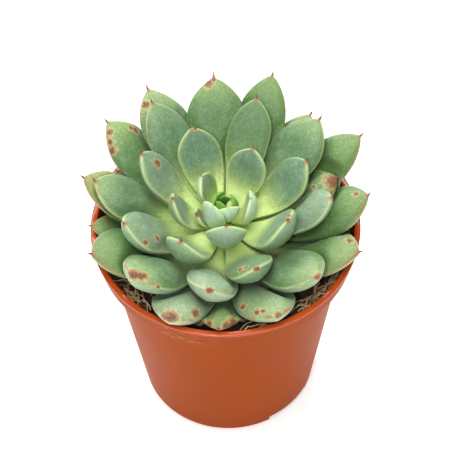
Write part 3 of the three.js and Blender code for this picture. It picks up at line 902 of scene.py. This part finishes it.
    # The grain and the clouds stand up a little, and each scar is sunk into the skin.
    height = add(tree, "ShaderNodeMath", {
        0: fields["grain"], 1: 0.4, 2: fields["cloud"]}, operation="MULTIPLY_ADD")
    sunk = add(tree, "ShaderNodeMath", {
        0: fields["sore"], 1: -0.25, 2: height.outputs[0]}, operation="MULTIPLY_ADD")
    relief = add(tree, "ShaderNodeBump", {"Height": sunk.outputs[0], "Strength": 0.4, "Distance": 0.0004})
    tree.links.new(relief.outputs[0], shader.inputs["Normal"])
    shader.inputs["Subsurface Weight"].default_value = 0.1
    shader.inputs["Subsurface Radius"].default_value = (1.0, 0.9, 0.35)
    shader.inputs["Subsurface Scale"].default_value = 0.0012
    shader.inputs["Sheen Weight"].default_value = 0.15
    shader.inputs["Sheen Roughness"].default_value = 0.45
    shader.inputs["Specular IOR Level"].default_value = 0.33
    return material


# Old bruises, dry and brown: leaf, along, across, side (1 above, -1 below, 0 both), size in mm.
scars = (
    (23, 0.99, 0.16, 0, 1.3), (23, 0.96, 0.58, 1, 2.0), (23, 0.945, 0.78, 0, 1.6),
    (27, 0.84, -0.67, 1, 1.6), (27, 0.88, -0.58, 1, 1.3), (27, 0.95, 0.65, 1, 1.4), (27, 0.85, 0.92, 1, 1.8),
    (27, 0.9, 0.85, 1, 1.3),
    (25, 0.92, 0.67, 1, 1.7), (25, 0.865, 0.95, 0, 1.8),
    (12, 0.83, -0.16, 1, 1.7),
    (16, 0.84, 0.92, 1, 1.2), (16, 0.7, 0.58, 1, 1.4),
    (22, 0.995, 0.85, 0, 2.7), (22, 0.97, 0.8, 1, 1.8), (22, 0.945, 0.74, 1, 1.4), (22, 0.865, 1.0, 0, 0.9),
    (18, 0.992, 0.92, 0, 1.7),
    (13, 0.865, -0.67, 1, 1.2), (13, 0.91, -0.49, 1, 1.0), (13, 1.0, -0.99, 0, 1.3),
    (34, 0.99, 0.67, 0, 3.1), (34, 0.985, -0.7, 0, 1.8), (34, 0.84, 0.87, 1, 1.8),
    (33, 0.77, -0.87, 1, 1.4), (33, 0.9, -0.87, 1, 1.2), (33, 0.93, -0.75, 1, 1.0), (33, 0.996, 0.0, 0, 1.5),
    (38, 0.956, -0.98, 0, 1.6), (38, 0.93, 0.99, 0, 2.1), (38, 0.97, 1.0, 0, 1.8),
    (21, 0.992, -0.16, 0, 1.8),
    (30, 0.93, 0.58, 1, 1.4),
    (28, 0.94, 0.28, 1, 1.2),
    (24, 0.96, -0.49, 0, 3.4), (24, 0.98, -0.6, 0, 2.9), (24, 0.97, -0.87, 0, 2.6), (24, 0.8, -0.1, 1, 1.0),
    (9, 0.965, 0.87, 1, 1.0),
    (7, 0.88, -0.87, 1, 1.0),
    (3, 0.73, 0.58, -1, 0.9), (3, 0.995, 0.0, 0, 1.5),
    (10, 0.99, -0.95, 0, 1.0),
)


def scar_field(points, facts, marks):
    """How far inside the nearest scar each point lies, as a share of the scar's size."""
    field = np.full(points.shape[:2], -1.0)
    for along, across, side, size in marks:
        miss = np.hypot((facts["along"] - along) * facts["length"],
                        (facts["across"] - across) * facts["width"] / 2)
        facing = side * (facts["upper"] - 0.5) > -0.05
        nearest = np.unravel_index(np.argmin(np.where(facing, miss, 99)), miss.shape)
        field = np.maximum(field, 1 - np.linalg.norm(points - points[nearest], axis=2) / size)
    return field


# How whole the wax is on leaves that differ: 1 thick and pale, -1 rubbed off to the green,
# and -2 rubbed off a leaf that has yellowed.
wax = {18: 0.5, 34: 0.6, 29: -2.0, 33: 0.4, 16: 0.3, 15: 0.4, 12: 0.3, 25: 0.3, 20: 0.1, 5: 0.2, 1: 0.2,
       13: -0.6, 31: -0.9, 28: -0.8, 26: -0.8, 14: -0.8, 24: -0.5, 38: -0.5, 37: -0.7, 23: -0.5, 35: -0.7,
       30: -0.3, 8: -0.1, 7: -0.2, 21: -0.2}

leaf_skin = waxy_leaf_skin()
younger_leaves = []
for number, row in enumerate(leaf_rows, start=1):
    share = (number - 1) / (len(leaf_rows) - 1)
    base_height = youngest_base + (oldest_base - youngest_base) * share
    points, upper, facts, deep = leaf_form(row, base_height, leaf_stations, leaf_sides, 100 + number)
    swollen = eased(share, 0.12, 0.4) * (1 - 0.5 * eased(math.sin(math.radians(row[0])), 0.3, 0.9))
    pad_height = (young_pad + (old_pad - young_pad) * swollen) * row[3]
    points, facts["imprint"] = give_way(points, upper, deep, facts, pad_height, younger_leaves)
    facts["scar"] = scar_field(points, facts, [mark[1:] for mark in scars if mark[0] == number])
    facts["wax"] = wax.get(number, 0.0)
    # The lowest leaves rest on the rim and the soil, a hair clear of the rim.
    over_rim = np.hypot(points[..., 0], points[..., 1]) > rim_radius - lip_width - 1
    points[..., 2] = np.where(
        over_rim, np.maximum(points[..., 2], pot_top + rim_clearance), points[..., 2])
    points[..., 2] = np.maximum(points[..., 2], soil_level - 0.5)
    spread = points.reshape(-1, 3)
    closed = np.concatenate([spread, points[0].mean(axis=0)[None], points[-1].mean(axis=0)[None]])
    younger_leaves.append((BVHTree.FromPolygons(closed.tolist(), ring_faces(leaf_stations, leaf_sides)),
                           spread.min(axis=0), spread.max(axis=0)))
    mesh = leaf_mesh(f"leaf_skin_{number:02d}", points, facts, share, number, row[3] / point_width)
    mesh.materials.append(leaf_skin)
    leaf = placed(mesh.name, mesh)
    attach(leaf, "root")
    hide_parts(f"leaf_{number:02d}")

# The heart: the smallest leaves, still closed round the growing tip, bright yellow-green.
# They stand round it a golden angle apart, and are one piece.
heart_leaves = 5
golden_angle = 137.5
heart_base = 9.0
heart_stations = 40
heart_sides = 32
heart_point_size = 0.3
outer_heart_age = -0.15
inner_heart_age = -0.3
heart_parts = []
for number in range(heart_leaves):
    row = (92 + golden_angle * number, 1.4 + 0.7 * number, 16.5 - 0.1 * number, 4.5 + 1.4 * number, 90, 0)
    points, _, facts, _ = leaf_form(row, heart_base, heart_stations, heart_sides, 300 + number)
    facts["imprint"] = np.zeros(points.shape[:2])
    facts["scar"] = np.full(points.shape[:2], -1.0)
    facts["wax"] = 0.0
    age = outer_heart_age if number == heart_leaves - 1 else inner_heart_age
    mesh = leaf_mesh(f"heart_leaf_{number}", points, facts, age, number, heart_point_size)
    mesh.materials.append(leaf_skin)
    heart_parts.append(placed(mesh.name, mesh))
heart = heart_parts[0]
with bpy.context.temp_override(active_object=heart, selected_editable_objects=heart_parts):
    bpy.ops.object.join()
heart.name = "heart_leaves"
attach(heart, "root")
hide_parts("heart")

# A plain pale table under soft light, and a camera at the photograph's angle: 0.9 m away,
# looking down at 52.5 degrees through a long lens. Lengths here are in metres.
table_corners = [(-3, -3, 0), (3, -3, 0), (3, 3, 0), (-3, 3, 0)]
floor_mesh = bpy.data.meshes.new("table_top")
floor_mesh.from_pydata(table_corners, [], [(0, 1, 2, 3)])
floor = bpy.data.objects.new("table_top", floor_mesh)
bpy.context.scene.collection.objects.link(floor)
paper, paper_tree, paper_shader = new_material("white_paper")
paper_shader.inputs["Base Color"].default_value = linear("#fdfdfc")
paper_shader.inputs["Roughness"].default_value = 0.9
paper_shader.inputs["Emission Color"].default_value = linear("#ffffff")
paper_shader.inputs["Emission Strength"].default_value = 0.4
floor_mesh.materials.append(paper)

scene = bpy.context.scene
scene.view_settings.view_transform = "Standard"
world = bpy.data.worlds.new("studio")
scene.world = world
world.use_nodes = True
world.node_tree.nodes["Background"].inputs["Color"].default_value = linear("#ffffff")
world.node_tree.nodes["Background"].inputs["Strength"].default_value = 0.4


def softbox(name, place, size, power):
    """A square lamp that faces the middle of the rosette."""
    light = bpy.data.lights.new(name, "AREA")
    light.size = size
    light.energy = power
    lamp = bpy.data.objects.new(name, light)
    bpy.context.scene.collection.objects.link(lamp)
    lamp.location = place
    aim = Vector((0, 0, 0.09)) - Vector(place)
    lamp.rotation_euler = aim.to_track_quat("-Z", "Y").to_euler()


softbox("back_softbox", (-0.2, 1.15, 0.95), 1.0, 17)
softbox("top_softbox", (-0.1, -0.1, 1.5), 1.0, 14)
softbox("fill_softbox", (-0.3, -1.15, 1.5), 0.16, 7)
softbox("left_softbox", (-0.9, -1.5, 0.9), 0.4, 1.2)
softbox("right_softbox", (0.8, -1.6, 0.8), 0.12, 2)

camera_data = bpy.data.cameras.new("photo_camera")
camera_distance = 0.9
camera_aim = Vector((-0.00016, 0, 0.094))
camera_data.lens = 185.3
camera_data.sensor_width = 36.0
camera_data.clip_end = 20.0
camera = bpy.data.objects.new("photo_camera", camera_data)
scene.collection.objects.link(camera)
look_down = math.radians(52.5)
tilt = math.radians(-1.6)
back = Vector((0, -math.cos(look_down), math.sin(look_down)))
level_up = Vector((0, math.sin(look_down), math.cos(look_down)))
level_right = Vector((1, 0, 0))
right = level_right * math.cos(tilt) + level_up * math.sin(tilt)
above = level_up * math.cos(tilt) - level_right * math.sin(tilt)
turn = Matrix((right, above, back)).transposed().to_4x4()
camera.matrix_world = Matrix.Translation(camera_aim + back * camera_distance) @ turn
scene.camera = camera
